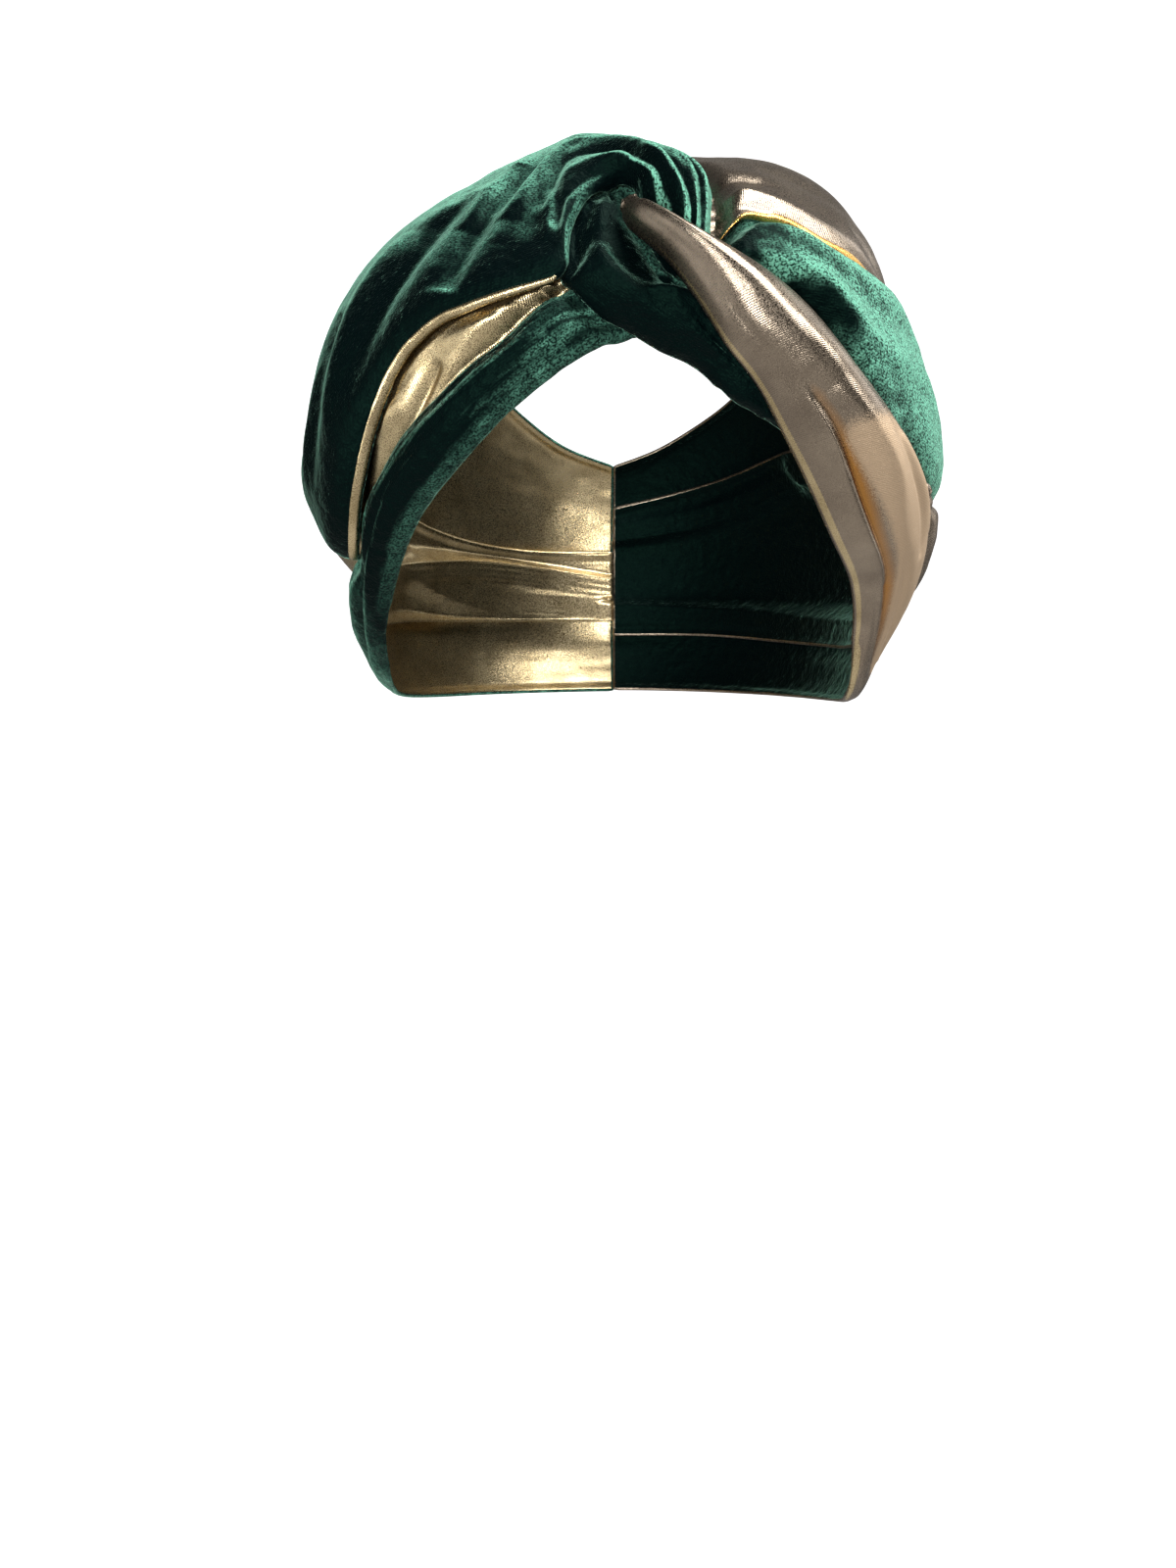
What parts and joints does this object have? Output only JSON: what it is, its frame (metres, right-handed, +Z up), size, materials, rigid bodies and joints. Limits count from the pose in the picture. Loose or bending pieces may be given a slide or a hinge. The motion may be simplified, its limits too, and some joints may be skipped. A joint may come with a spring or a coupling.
{
  "type": "twisted turban headwrap",
  "caption": "Wide velvet headband lined with metallic lame, twisted over itself in a soft front knot and shaped as worn, open at the crown.",
  "frame": {"origin": "middle of the head that fills the headwrap, level with the widest part of the head", "axes": "+Z up to the crown, -Y to the front where the knot is, +X to the wearer's left"},
  "size_m": [0.1901, 0.2124, 0.1604],
  "materials": {
    "emerald_velvet": "stretch velvet with a fine rib, dark green with a bright sheen at grazing light",
    "gold_lame": "bronze gold metallic knit, glossy with fine ridges",
    "gold_lining": "the same metallic knit where it shows as the lining, a little yellower"
  },
  "bodies": {
    "root": {"upper_left_velvet": "emerald_velvet", "lower_left_velvet": "emerald_velvet", "knot_velvet": "emerald_velvet", "right_velvet_panel": "emerald_velvet", "right_lame_flap": "gold_lame", "right_lame_fold": "gold_lame", "upper_right_lame": "gold_lame", "left_lame_lining": "gold_lining"}
  },
  "joints": []
}
